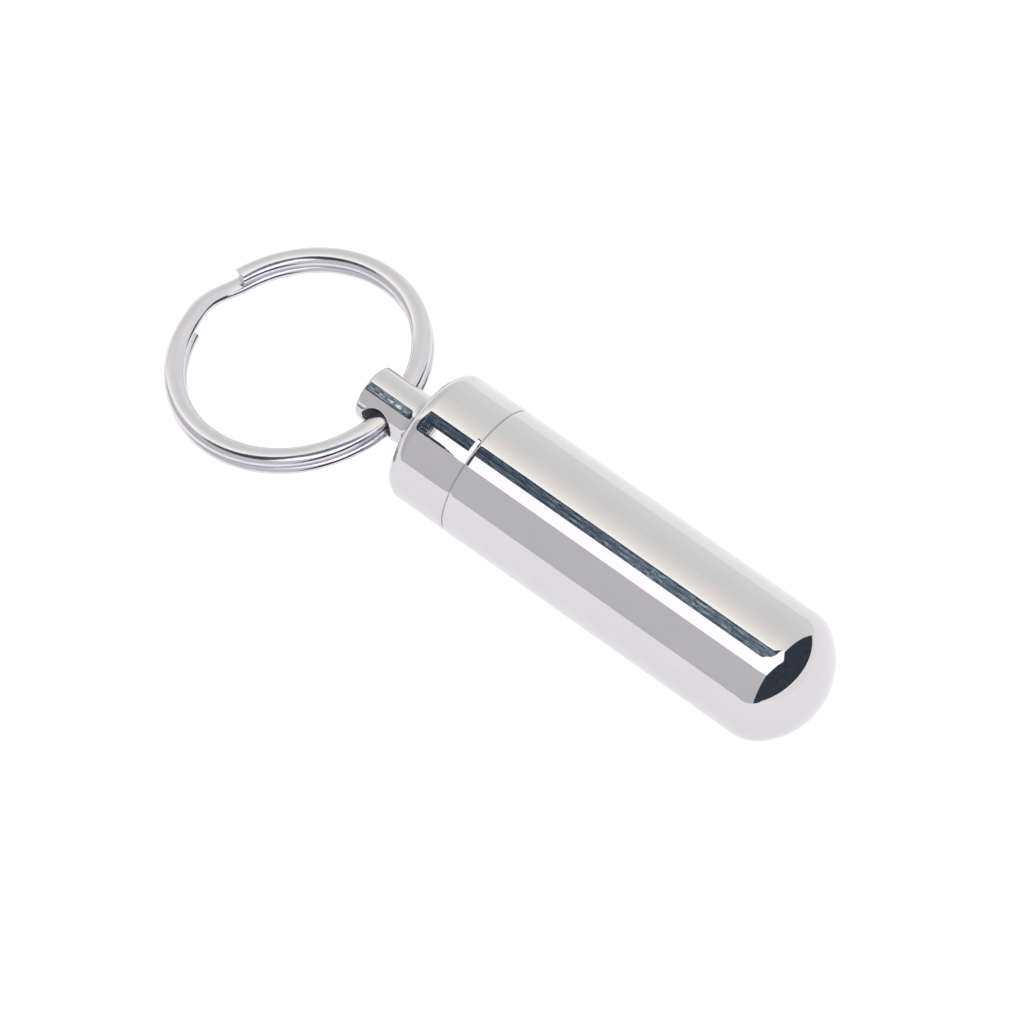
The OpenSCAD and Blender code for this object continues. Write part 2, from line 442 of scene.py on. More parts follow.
def make_barrel(material, inside_material):
    """The barrel: a shell from the tip of its dome over the mouth's edge and in to the chamber's tip."""
    lead_r = MOUTH_R + MOUTH_LEAD
    lead_x = SEAM_X + MOUTH_LEAD
    tilt_x = SEAM_X + MOUTH_ROUND * (1 - math.sin(MOUTH_TILT))
    tilt_r = FOB_R - MOUTH_EDGE * math.tan(MOUTH_TILT)
    round_r = tilt_r - MOUTH_ROUND * math.cos(MOUTH_TILT)
    round_start = 90 + math.degrees(MOUTH_TILT)
    outside = dome_runs() + [
        line((DOME_X, FOB_R), (tilt_x + MOUTH_EDGE, FOB_R), steps=24),
        line((tilt_x + MOUTH_EDGE, FOB_R), (tilt_x, tilt_r), steps=2),
        arc((SEAM_X + MOUTH_ROUND, round_r), MOUTH_ROUND, round_start, 180, steps=6),
        line((SEAM_X, round_r), (SEAM_X, lead_r)),
    ]
    inside = [
        line((SEAM_X, lead_r), (lead_x, MOUTH_R)),
        line((lead_x, MOUTH_R), (MOUTH_END_X, MOUTH_R), steps=8),
        line((MOUTH_END_X, MOUTH_R), (MOUTH_END_X, CHAMBER_R)),
        line((MOUTH_END_X, CHAMBER_R), (CHAMBER_END_X, CHAMBER_R), steps=16),
        line((CHAMBER_END_X, CHAMBER_R), (CHAMBER_TIP_X, 0), steps=4),
    ]
    runs = outside + inside
    skin = Skin()
    lathe(skin, runs, BARREL_SEGMENTS, inner=range(len(outside), len(runs)))
    return skin.build("barrel_shell", material, inside_material)


def in_window(ring):
    """Whether a ring of the cap's turning passes the eye."""
    return abs(ring.r - POST_R) < TOUCH and WINDOW_LOW_X - TOUCH < ring.x < WINDOW_HIGH_X + TOUCH


def cut_for_eye(ring, next_ring, j):
    """Whether a face lies in a window for the eye, on the post's +Y side or its -Y side."""
    half = CAP_SEGMENTS // 2
    steps = [(j - middle + half) % CAP_SEGMENTS - half for middle in (0, half)]
    crossed = any(-WINDOW_HALF <= step < WINDOW_HALF for step in steps)
    return crossed and in_window(ring) and in_window(next_ring)


def window_edge(rings, middle):
    """The points round a window: their indexes, and their places as (x, angle from its middle)."""
    rows = sorted(ring for ring in rings if in_window(ring))
    edge = [(rows[0], s) for s in range(-WINDOW_HALF, WINDOW_HALF)]
    edge += [(row, WINDOW_HALF) for row in rows[:-1]]
    edge += [(rows[-1], s) for s in range(WINDOW_HALF, -WINDOW_HALF, -1)]
    edge += [(row, -WINDOW_HALF) for row in reversed(rows[1:])]
    indexes = [row.first + (middle + s) % CAP_SEGMENTS for row, s in edge]
    return indexes, np.array([(row.x, math.radians(360 * s / CAP_SEGMENTS)) for row, s in edge])


def eye_patch(skin, rings, side):
    """Fills a window with a mouth of the eye: side is 1 for +Y and -1 for -Y. Returns the bore's edge."""
    outer, places = window_edge(rings, 0 if side > 0 else CAP_SEGMENTS // 2)
    angle = np.arctan2(places[:, 1] * POST_R, places[:, 0] - EYE_X)

    def post_normal(along):
        return np.stack([0 * along, side * np.cos(along), side * np.sin(along)], 1)

    rim_r = EYE_R + EYE_RIM
    circle = np.stack([EYE_X + rim_r * np.cos(angle), np.arcsin(rim_r * np.sin(angle) / POST_R)], 1)
    loops, normals = [outer], [post_normal(places[:, 1])]
    for share in np.linspace(0, 1, PATCH_LOOPS + 1)[1:]:
        x, along = (places * (1 - share) + circle * share).T
        y, z = side * POST_R * np.cos(along), side * POST_R * np.sin(along)
        loops.append(skin.loop(np.stack([x, y, z], 1)))
        normals.append(post_normal(along))

    def rim(depth, turn):
        """Points of the rounded rim, at a share of its depth and at these angles round the eye."""
        r = EYE_R + EYE_RIM * (1 - depth) ** 2
        z = r * np.sin(turn)
        y = np.sqrt(POST_R ** 2 - z ** 2) - EYE_RIM_DEPTH * depth ** 2
        return np.stack([EYE_X + r * np.cos(turn), side * y, side * z], 1)

    tiny = 1e-4
    outward = np.stack([-np.cos(angle), np.full_like(angle, side), -side * np.sin(angle)], 1)
    for depth in np.linspace(0, 1, RIM_LOOPS + 1)[1:]:
        at = min(max(depth, tiny), 1 - tiny)
        across = rim(at + tiny, angle) - rim(at - tiny, angle)
        round_it = rim(at, angle + tiny) - rim(at, angle - tiny)
        normal = np.cross(across, round_it)
        normal /= np.linalg.norm(normal, axis=1)[:, None]
        normal *= np.sign((normal * outward).sum(1))[:, None]
        loops.append(skin.loop(rim(depth, angle)))
        normals.append(normal)
    for a, b, n_a, n_b in zip(loops, loops[1:], normals, normals[1:]):
        skin.strip(a, b, n_a, n_b)
    return loops[-1]


def eye_bore(skin, near, far):
    """Adds the wall of the eye, between the edges of its bore at both mouths."""
    far_points = np.array([skin.points[i] for i in far])
    mate = []
    for i in near:
        p = np.array(skin.points[i])
        apart = ((far_points - p)[:, [0, 2]] ** 2).sum(1)
        mate.append(far[int(np.argmin(apart))])
    wall = np.array([(EYE_X - skin.points[i][0], 0, -skin.points[i][2]) for i in near]) / EYE_R
    skin.strip(near, mate, wall, wall)


def make_cap(material, inside_material):
    """The cap: from the spigot's tip out to the seam, over the cap and along its post, with the eye."""
    groove_x = SEAM_X + GROOVE_LEN
    land_x = groove_x + LAND_LEN
    bevel_x = SPIGOT_END_X - SPIGOT_BEVEL
    line_x = SEAM_X - LINE_W
    taper_x = SEAM_X - TAPER_LEN
    post_start_x = POST_END_X + POST_ROUND
    spigot = [
        line((SPIGOT_END_X, 0), (SPIGOT_END_X, CORE_R - SPIGOT_BEVEL), steps=3),
        line((SPIGOT_END_X, CORE_R - SPIGOT_BEVEL), (bevel_x, CORE_R)),
        line((bevel_x, CORE_R), (land_x, CORE_R), steps=6),
        line((land_x, CORE_R), (land_x, LAND_R)),
        line((land_x, LAND_R), (groove_x, LAND_R)),
        line((groove_x, LAND_R), (groove_x, GROOVE_R)),
        line((groove_x, GROOVE_R), (SEAM_X, GROOVE_R)),
        line((SEAM_X, GROOVE_R), (SEAM_X, SEAT_R)),
    ]
    outside = [
        line((SEAM_X, SEAT_R), (line_x, SEAT_R)),
        line((line_x, SEAT_R), (line_x, EDGE_R)),
        line((line_x, EDGE_R), (taper_x, FOB_R), steps=2),
        line((taper_x, FOB_R), (FACE_X + SHOULDER_R, FOB_R), steps=12),
        arc((FACE_X + SHOULDER_R, FOB_R - SHOULDER_R), SHOULDER_R, 90, 180, steps=32),
        line((FACE_X, FOB_R - SHOULDER_R), (FACE_X, POST_R + FOOT_R)),
        arc((FACE_X - FOOT_R, POST_R + FOOT_R), FOOT_R, 0, -90, steps=32),
        line((FACE_X - FOOT_R, POST_R), (WINDOW_HIGH_X, POST_R)),
        line((WINDOW_HIGH_X, POST_R), (WINDOW_LOW_X, POST_R), steps=WINDOW_STEPS),
        line((WINDOW_LOW_X, POST_R), (post_start_x, POST_R)),
        arc((post_start_x, POST_R - POST_ROUND), POST_ROUND, 90, 180, steps=12),
        line((POST_END_X, POST_R - POST_ROUND), (POST_END_X, 0), steps=4),
    ]
    skin = Skin()
    rings = lathe(skin, spigot + outside, CAP_SEGMENTS, cut_for_eye, inner=range(len(spigot)))
    near, far = eye_patch(skin, rings, 1), eye_patch(skin, rings, -1)
    skin.slot = 1
    eye_bore(skin, near, far)
    return skin.build("cap_turned", material, inside_material)


def swept(skin, path, out, up, section, section_normals, insets=None):
    """A tube along a path that has its own outward and upward direction at each point.

    Its section is given as offsets in these two directions, with the normals at its points. The tube is
    closed to a ring unless it has insets, which draw its section in at each point of the path."""
    closed = insets is None
    count, width = len(path), len(section)
    inset = np.zeros(count) if closed else insets
    drawn = section[None] - inset[:, None, None] * section_normals[None]
    grid = path[:, None] + drawn[:, :, :1] * out[:, None] + drawn[:, :, 1:] * up[:, None]
    along = np.roll(grid, -1, 0) - np.roll(grid, 1, 0) if closed else np.gradient(grid, axis=0)
    tangent = np.stack([-section_normals[:, 1], section_normals[:, 0]], 1)
    side = tangent[None, :, :1] * out[:, None] + tangent[None, :, 1:] * up[:, None]
    rough = section_normals[None, :, :1] * out[:, None] + section_normals[None, :, 1:] * up[:, None]
    normal = np.cross(along, side)
    normal /= np.linalg.norm(normal, axis=2)[..., None]
    normal *= np.sign((normal * rough).sum(2))[..., None]
    loops = [skin.loop(ring) for ring in grid]
    pairs = list(zip(range(count), range(1, count))) + [(count - 1, 0)] * closed
    for i, m in pairs:
        skin.strip(loops[i], loops[m], normal[i], normal[m])
    if not closed:
        for i, neighbour in ((0, 1), (count - 1, count - 2)):
            facing = path[i] - path[neighbour]
            facing = facing / np.linalg.norm(facing)
            corners = list(loops[i])
            area = sum(np.cross(grid[i, j], grid[i, (j + 1) % width]) for j in range(width))
            if np.dot(area, facing) < 0:
                corners.reverse()
            skin.face(corners, [facing] * width)
    return skin


def rays_about_x(angle):
    """Rays round the X axis at these angles, and for each of them the axis itself."""
    rays = np.stack([0 * angle, np.cos(angle), np.sin(angle)], 1)
    return rays, np.tile([1.0, 0, 0], (len(angle), 1))


def make_thread(name, material, root_r, crest_r, high_x, phase):
    """A helical ridge from root_r to crest_r that fades out at both ends. It is a right-hand thread."""
    low_x = SEAM_X + THREAD_START
    height = abs(crest_r - root_r)
    outwards = 1 if crest_r > root_r else -1
    half_crest = RIDGE_CREST / 2
    half_base = half_crest + height * math.tan(FLANK_ANGLE)
    turns = (high_x - low_x - 2 * half_base) / PITCH
    turn = np.linspace(0, turns, int(turns * THREAD_STEPS) + 1)
    fade = np.clip(np.minimum(turn, turns - turn) / THREAD_FADE, 0, 1)
    fade = fade * fade * (3 - 2 * fade)
    rays, axis = rays_about_x(FULL * (turn + phase))
    centre_x = low_x + half_base + PITCH * turn
    flank_x, flank_r = math.cos(FLANK_ANGLE), math.sin(FLANK_ANGLE)
    # A flank, the crest and the other flank: their edges, as (offset, share of the height), and normals.
    # Each has points of its own, so that its edges stay crisp.
    sides = [
        ((-half_base, 0), (-half_crest, 1), (-flank_x, flank_r)),
        ((-half_crest, 1), (half_crest, 1), (0, 1)),
        ((half_crest, 1), (half_base, 0), (flank_x, flank_r)),
    ]
    skin = Skin()
    for start, end, (normal_x, normal_r) in sides:
        edges = []
        for offset, share in (start, end):
            r = root_r - outwards * RIDGE_SINK + outwards * share * (RIDGE_SINK + height * fade)
            edges.append(skin.loop(axis * (centre_x + offset)[:, None] + rays * r[:, None]))
        normals = axis * normal_x + rays * outwards * normal_r
        skin.strip(edges[0], edges[1], normals, normals, closed=False)
    return skin.build(name, material)


def make_seal(material):
    """The seal: a ring of round rubber cord, in the middle of its groove."""
    rays, axis = rays_about_x(full_turn(SEAL_SEGMENTS))
    path = rays * SEAL_MID_R + np.array([SEAM_X + GROOVE_LEN / 2, 0, 0])
    angle = full_turn(CORD_SEGMENTS)
    section = np.stack([np.cos(angle), np.sin(angle)], 1) * SEAL_R
    return swept(Skin(), path, rays, axis, section, section / SEAL_R).build("seal_ring", material)


def wire_section():
    """The outline of the wire, which is rolled flat from round: an ellipse, and its normals."""
    angle = full_turn(WIRE_STEPS)
    rays = np.stack([np.cos(angle), np.sin(angle)], 1)
    halves = np.array([WIRE_W + WIRE_PLUS, WIRE_H + WIRE_PLUS_H]) / 2
    normals = rays / halves
    return rays * halves, normals / np.linalg.norm(normals, axis=1)[:, None]


def make_split_ring(material):
    """One length of wire wound twice round, which changes level between its two cut ends."""
    first, last = math.radians(HIGH_END), math.radians(720 + LOW_END)
    round_end = CUT_ROUND / WIRE_MID_R
    ends = np.linspace(0, math.pi / 2, CUT_STEPS + 1)[:-1]
    start_a = first + round_end * (1 - np.cos(ends))
    end_a = last - round_end * (1 - np.cos(ends[::-1]))
    a = np.concatenate([start_a, np.linspace(first + round_end, last - round_end, WIRE_CUTS), end_a])
    insets = np.zeros(len(a))
    insets[:CUT_STEPS] = CUT_ROUND * (1 - np.sin(ends))
    insets[-CUT_STEPS:] = insets[CUT_STEPS - 1::-1]
    cross = np.clip((a - FULL - math.radians(LOW_END)) / math.radians(CROSS_END - LOW_END), 0, 1)
    r = WIRE_MID_R + WIRE_PLUS + CROSS_BOW * np.sin(math.pi * cross) ** 2
    level = (LEVEL + WIRE_PLUS / 2) * np.cos(math.pi * cross) + WIRE_PLUS
    out = np.stack([np.cos(a), np.sin(a), 0 * a], 1)
    up = np.tile([0.0, 0, 1], (len(a), 1))
    path = out * r[:, None] + up * level[:, None] + np.array([WIRE_MID_R - REST_BACK, 0, -REST_DOWN])
    turn = np.array(RING_TURN @ Matrix.Scale(-1, 3, (1, 0, 0)))
    path = path @ turn.T + np.array([EYE_X, 0, 0])
    section, normals = wire_section()
    skin = swept(Skin(), path, out @ turn.T, up @ turn.T, section, normals, insets)
    return skin.build("ring_wire", material)


class Number:
    """A number that a shader works out at each point. It can be used in sums as plain numbers are."""

    def __init__(self, graph, socket):
        self.graph = graph
        self.socket = socket

    def __add__(self, other):
        return self.graph.math("ADD", self, other)

    def __sub__(self, other):
        return self.graph.math("SUBTRACT", self, other)

    def __rsub__(self, other):
        return self.graph.math("SUBTRACT", other, self)

    def __mul__(self, other):
        return self.graph.math("MULTIPLY", self, other)

    def __truediv__(self, other):
        return self.graph.math("DIVIDE", self, other)

    def __abs__(self):
        return self.graph.math("ABSOLUTE", self)


class Graph:
    """Short names for the nodes of one shader."""

    def __init__(self, tree):
        self.tree = tree
        self.nodes = tree.nodes

    def put(self, socket, value):
        """Gives an input its number or colour, or joins it to what another node gives."""
        if isinstance(value, Number):
            value = value.socket
        if isinstance(value, bpy.types.NodeSocket):
            self.tree.links.new(value, socket)
        elif isinstance(value, tuple) and socket.type == "RGBA" and len(value) == 3:
            socket.default_value = (*value, 1)
        else:
            socket.default_value = value

    def node(self, kind, inputs=(), **settings):
        made = self.nodes.new(kind)
        for name, value in settings.items():
            setattr(made, name, value)
        for name, value in dict(inputs).items():
            self.put(made.inputs[name], value)
        return made

    def math(self, operation, a, b=0.0):
        made = self.node("ShaderNodeMath", {0: a, 1: b}, operation=operation)
        return Number(self, made.outputs[0])

    def larger(self, a, b):
        return self.math("MAXIMUM", a, b)

    def smaller(self, a, b):
        return self.math("MINIMUM", a, b)

    def length(self, a, b):
        """The length of a line that goes a one way and b across it."""
        return self.math("SQRT", a * a + b * b)

    def between(self, value, low, high, to_low=0.0, to_high=1.0, smooth=True):
        """Maps low..high of a value to two others, and holds it there beyond them."""
        kind = "SMOOTHSTEP" if smooth else "LINEAR"
        inputs = {"Value": value, "From Min": low, "From Max": high, "To Min": to_low, "To Max": to_high}
        made = self.node("ShaderNodeMapRange", inputs, interpolation_type=kind)
        return Number(self, made.outputs["Result"])

    def mix(self, share, a, b):
        """A colour that goes from a to b as the share grows."""
        return self.node("ShaderNodeMix", {0: share, 6: a, 7: b}, data_type="RGBA").outputs[2]

    def ramp(self, share, stops):
        """The colour at a share of the way along a list of stops, each a place and its colour."""
        made = self.node("ShaderNodeValToRGB", {"Fac": share})
        elements = made.color_ramp.elements
        while len(elements) < len(stops):
            elements.new(0.5)
        for element, (place, color) in zip(elements, stops):
            element.position = place
            element.color = (*color, 1)
        return made.outputs["Color"]

    def scaled(self, vector, scale):
        return self.node("ShaderNodeVectorMath", {0: vector, 1: scale}, operation="MULTIPLY").outputs[0]

    def turned(self, vector, angle, kind, **inputs):
        inputs.update(Vector=vector, Angle=angle)
        return self.node("ShaderNodeVectorRotate", inputs, rotation_type=kind).outputs[0]

    def noise(self, vector, scale=1.0, detail=2.0, roughness=0.5):
        inputs = {"Vector": vector, "Scale": scale, "Detail": detail, "Roughness": roughness}
        return Number(self, self.node("ShaderNodeTexNoise", inputs).outputs["Fac"])

    def split(self, vector):
        made = self.node("ShaderNodeSeparateXYZ", {0: vector})
        return [Number(self, socket) for socket in made.outputs]

    def joined(self, x, y, z):
        return self.node("ShaderNodeCombineXYZ", {0: x, 1: y, 2: z}).outputs[0]

    def bump(self, height, depth, normal=None):
        """A bump of the given depth, in millimetres, between heights 0 and 1. It adds to a normal."""
        inputs = {"Height": height, "Strength": 1.0, "Distance": depth * MM}
        if normal is not None:
            inputs["Normal"] = normal
        return self.node("ShaderNodeBump", inputs).outputs["Normal"]

    def millimetres(self):
        """The place on the piece at rest, in millimetres."""
        place = self.node("ShaderNodeTexCoord").outputs["Object"]
        return self.scaled(place, (1 / MM, 1 / MM, 1 / MM))

    def dress(self, color, roughness, normal):
        """Gives the material its colour, its roughness and its bumps."""
        surface = self.nodes["Principled BSDF"]
        self.put(surface.inputs["Base Color"], color)
        self.put(surface.inputs["Roughness"], roughness)
        self.put(surface.inputs["Normal"], normal)


def new_finish(name, color, roughness, metallic=1.0):
    """A new material and its graph. Its colour and roughness stand until it is dressed."""
    material = bpy.data.materials.new(name)
    material.use_nodes = True
    surface = material.node_tree.nodes["Principled BSDF"]
    surface.inputs["Metallic"].default_value = metallic
    surface.inputs["Base Color"].default_value = (*color, 1)
    surface.inputs["Roughness"].default_value = roughness
    return material, Graph(material.node_tree)


def scratches(graph, place, turn, fine, share):
    """Hairlines that run one way: 1 on a scratch and 0 beside it."""
    turned = graph.turned(place, turn, "X_AXIS")
    turned = graph.turned(turned, turn * 1.7, "Z_AXIS")
    lines = graph.noise(graph.scaled(turned, (fine, 0.12, fine)), detail=1.0)
    gate = graph.noise(turned, scale=0.35)
    return graph.between(lines, share, share + 0.02) * graph.between(gate, 0.5, 0.62)


def polished_steel():
    """Turned steel polished to a mirror: faint waviness, hairlines, and painted shade down in the seam."""
    material, graph = new_finish("fob_metal", STEEL_COLOR, 0.03)
    place = graph.millimetres()
    x, y, z = graph.split(place)
    cloud = graph.noise(place, scale=0.22, detail=3.0)
    tint = graph.mix(graph.between(cloud, 0.35, 0.65), STEEL_COLOR, STEEL_TINT)
    # Painted shade: the metal down in the groove at the seam is darkened, as if shaded by the gap.
    from_line = abs(x - (SEAM_X - LINE_W / 2))
    near_line = graph.between(from_line, LINE_W / 2, LINE_W, 1, 0)
    sunk = graph.between(graph.length(y, z), SEAT_R + 0.02, SEAT_R + 0.1, 1, 0)
    color = graph.mix(near_line * sunk, tint, SEAM_SHADE)
    hairs = graph.larger(
        scratches(graph, place, turn=0.5, fine=14.0, share=0.67),
        scratches(graph, place, turn=2.1, fine=18.0, share=0.68),
    )
    smear = graph.between(graph.noise(place, scale=0.5, detail=4.0), 0.45, 0.8, 0.01, 0.03)
    waves = graph.noise(graph.scaled(place, (0.5, 0.3, 0.3)))
    turning = graph.noise(graph.joined(x * 4.5, 0.0, 0.0), detail=3.0, roughness=0.6)
    normal = graph.bump(waves, depth=0.0008)
    normal = graph.bump(turning, depth=0.0002, normal=normal)
    normal = graph.bump(hairs * -1.0, depth=0.0002, normal=normal)
    graph.dress(color, smear + hairs * 0.08, normal)
    return material


def machined_steel():
    """The inside of the fob and its threads: turned and not polished, with tool marks round the axis."""
    material, graph = new_finish("machined_steel", STEEL_COLOR, 0.25, metallic=0.7)
    place = graph.millimetres()
    x = graph.split(place)[0]
    marks = graph.noise(graph.joined(x * 7.0, 0.0, 0.0), detail=3.0, roughness=0.7)
    cloud = graph.noise(place, scale=0.8, detail=3.0)
    color = graph.mix(graph.between(cloud, 0.3, 0.7), STEEL_COLOR, BORE_TINT)
    color = graph.mix(graph.between(marks, 0.45, 0.8, 0, 0.35), color, BORE_DARK)
    graph.dress(color, graph.between(marks, 0.3, 0.7, 0.2, 0.38), graph.bump(marks, depth=0.01))
    return material


def plated_wire():
    """Drawn wire under bright nickel, with streaks along the wire and a fine grain."""
    material, graph = new_finish("ring_wire", WIRE_COLOR, 0.08)
    place = graph.millimetres()
    inputs = {0: place, 1: tuple(RING_MIDDLE)}
    from_middle = graph.node("ShaderNodeVectorMath", inputs, operation="SUBTRACT").outputs[0]
    tilt_axis = tuple(RING_TURN @ Vector((0, 1, 0)))
    x, y, z = graph.split(graph.turned(from_middle, RING_TILT, "AXIS_ANGLE", Axis=tilt_axis))
    angle = graph.math("ARCTAN2", y, x)
    drawn = graph.joined(graph.length(x, y) * 6.0, angle * 3.0, z * 6.0)
    streaks = graph.noise(drawn, detail=4.0, roughness=0.6)
    grain = graph.noise(place, scale=11.0, detail=2.0, roughness=0.7)
    cloud = graph.noise(place, scale=0.5, detail=3.0)
    color = graph.mix(graph.between(cloud, 0.3, 0.7), WIRE_COLOR, WIRE_TINT)
    color = graph.mix(graph.between(streaks, 0.5, 0.85, 0, 0.25), color, WIRE_DARK)
    rough = graph.between(grain, 0.3, 0.75, 0.1, 0.17) + graph.between(cloud, 0.5, 0.75, 0, 0.04)
    normal = graph.bump(streaks, depth=0.0022)
    graph.dress(color, rough, graph.bump(grain, depth=0.0012, normal=normal))
    return material


def seal_rubber():
    """Black rubber with a moulded bloom."""
    material, graph = new_finish("seal_rubber", RUBBER_COLOR, 0.5, metallic=0.0)
    place = graph.millimetres()
    bloom = graph.noise(place, scale=1.3, detail=4.0)
    color = graph.mix(graph.between(bloom, 0.4, 0.8), RUBBER_COLOR, RUBBER_BLOOM)
    normal = graph.bump(graph.noise(place, scale=14.0, detail=3.0), depth=0.01)
    graph.dress(color, graph.between(bloom, 0.3, 0.7, 0.38, 0.6), normal)
    return material


def seen(color):
    """The light that shows as this screen colour once the polished steel has mirrored it."""
    def linear(value):
        share = value / 255
        return share / 12.92 if share <= 0.04045 else ((share + 0.055) / 1.055) ** 2.4
    return tuple(linear(v) / reflected for v, reflected in zip(color, STEEL_COLOR))


def opening_edge(graph, y):
    """How high the sweep of the floor rises in the tent's open end, as a direction's z for its y."""
    across = (y - SWEEP_MID_Y) / SWEEP_HALF_W
    return (1.0 - across * across) * SWEEP_TOP_Z


def studio_world():
    """The tent, as the light from each direction. The camera itself sees white beyond the floor."""
    world = bpy.data.worlds.new("studio")
    bpy.context.scene.world = world
    world.use_nodes = True
    graph = Graph(world.node_tree)
    direction = graph.node("ShaderNodeTexCoord").outputs["Generated"]
    x, y, z = graph.split(direction)
    half_turn = graph.math("ARCTAN2", z, y) / math.pi
    walls = graph.ramp(half_turn, [(degrees / 180, seen(color)) for degrees, color in TENT_WALLS])
    walls = graph.mix(graph.between(x, *BACK_X), walls, graph.scaled(walls, BACK_SHADE))
    above = z - opening_edge(graph, y)
    mottle = graph.noise(direction, scale=14.0, detail=4.0)
    dark = graph.mix(mottle, seen(OPENING_DARK), seen(OPENING_LIGHT))
    rim = graph.between(x, END_X, END_X + END_RIM, 1, 0) * END_RIM_SHARE
    dark = graph.mix(rim, dark, seen(END_RIM_COLOR))
    warm = graph.between(abs(above), *SWEEP_RIM, 1, 0)
    sweep = graph.mix(warm, seen(SWEEP_COLOR), seen(SWEEP_RIM_COLOR))
    end = graph.mix(graph.between(above, -SWEEP_SOFT, SWEEP_SOFT), sweep, dark)
    color = graph.mix(graph.between(x, END_X - END_SOFT, END_X + END_SOFT), walls, end)
    camera_ray = graph.node("ShaderNodeLightPath").outputs["Is Camera Ray"]
    graph.put(graph.nodes["Background"].inputs["Color"], graph.mix(camera_ray, color, WHITE))


def card(name, outline, height, paint):
    """A flat card overhead that only shows in reflections. paint() gives its light and its cover."""
    mesh = bpy.data.meshes.new(name)
    corners = [(x * MM, y * MM, height * MM) for x, y in outline]
    mesh.from_pydata(corners, [], [tuple(range(len(corners)))])
    piece = placed(name, mesh)
    piece.visible_camera = False
    piece.visible_diffuse = False
    piece.visible_shadow = False
    material = bpy.data.materials.new(name)
    material.use_nodes = True
    graph = Graph(material.node_tree)
    graph.nodes.clear()
    output = graph.node("ShaderNodeOutputMaterial")
    color, cover = paint(graph)
    glow = graph.node("ShaderNodeEmission", {"Color": color}).outputs[0]
    clear = graph.node("ShaderNodeBsdfTransparent").outputs[0]
    shown = graph.node("ShaderNodeMixShader", {0: cover, 1: clear, 2: glow}).outputs[0]
    graph.put(output.inputs["Surface"], shown)
    mesh.materials.append(material)


def roof_places(graph):
    """Places on a roof card: x, y, and the x of the fob's side that mirrors it in the main view."""
    x, y, z = graph.split(graph.millimetres())
    run = graph.math("SQRT", y * y + ROOF_Z ** 2) - FOB_R
    camera_run = math.hypot(CAMERA.y, CAMERA.z) - FOB_R
    return x, y, (x * camera_run + run * CAMERA.x) / (run + camera_run)


def card_noise(graph, along, y, fine_along, fine_y, detail=2.0, roughness=0.5):
    """Noise on a roof card, with its own fineness along the fob and across it."""
    place = graph.joined(along, y, 0.0)
    return graph.noise(graph.scaled(place, (fine_along, fine_y, 1.0)), 1.0, detail, roughness)


def low_rim(graph, x, along):
    """The y of the slot's low rim, which draws in only where the post mirrors it."""
    drawn = graph.between(along, *SLOT_TAPER_X, *SLOT_TAPER_Y)
    return graph.smaller(drawn, graph.between(x, *SLOT_LOW_X, SLOT_TAPER_Y[1], 0))


def paint_slot(graph):
    """The dark slot: mottled in bands that run along the fob, and darkest along its edges."""
    x, y, along = roof_places(graph)
    mottle = card_noise(graph, along, y, 2.3, 0.055, roughness=0.7)
    blotch = card_noise(graph, along, y, 0.35, 0.012)
    bands = graph.math("COSINE", (y - SLOT_BAND_Y) * (FULL / SLOT_BAND))
    level = graph.between(mottle, 0.3, 0.7, 0.1, 0.9, smooth=False) + blotch * 0.3 + bands * 0.07
    level += graph.between(along, *SLOT_LIGHTER_X, 0, 0.2)
    stripes = card_noise(graph, along, y, 3.2, 0.02, roughness=0.7)
    level += graph.between(along, *SLOT_STRIPED_X, 0.5, 0) * graph.between(stripes, 0.4, 0.6)
    stops = [(place, seen(color)) for place, color in SLOT_COLORS]
    color = graph.ramp(graph.between(level, *SLOT_LEVELS, smooth=False), stops)
    fringe = card_noise(graph, along, y, 2.8, 0.01) * SLOT_FRINGE
    near = graph.between(y + fringe * 0.25, *SLOT_NEAR_RIM, 0, 0.8)
    color = graph.mix(near, color, seen(SLOT_NEAR_COLOR))
    over_cap = graph.between(along, SEAM_X - 1, SEAM_X, 1, 0)
    far = graph.between(y + fringe, *SLOT_FAR_RIM, 1, 0) * over_cap
    color = graph.mix(far * 0.5, color, seen(SLOT_FAR_COLOR))
    past_rim = low_rim(graph, x, along) - y
    color = graph.mix(graph.between(past_rim, *SLOT_LOW_RIM, 0, 0.85), color, seen(SLOT_FAR_COLOR))
    color = graph.mix(graph.between(x, *SLOT_DIM_X, 0, 0.8), color, seen(SLOT_DIM_COLOR))
    color = graph.mix(graph.between(past_rim, -1, 1), color, seen(SHADED_WALL))
    return color, 1.0


def post_flecks(graph, y, along):
    """Flecks of light over the post, in a row: 1 on a fleck and 0 beside it."""
    beat = graph.math("COSINE", (along - FLECK_X[0]) * (FULL / FLECK_STEP))
    least = graph.between(along, *FLECK_X, *FLECK_LEVELS, smooth=False)
    flecks = graph.between(beat - least, -0.06, 0.06)
    reach = graph.between(along, *FLECK_X, *FLECK_REACH, smooth=False)
    flecks *= graph.between(abs(y - FLECK_Y) - reach, -5, 5, 1, 0)
    return flecks * graph.between(along, FLECK_X[1], FLECK_X[1] + 0.1, 1, 0)


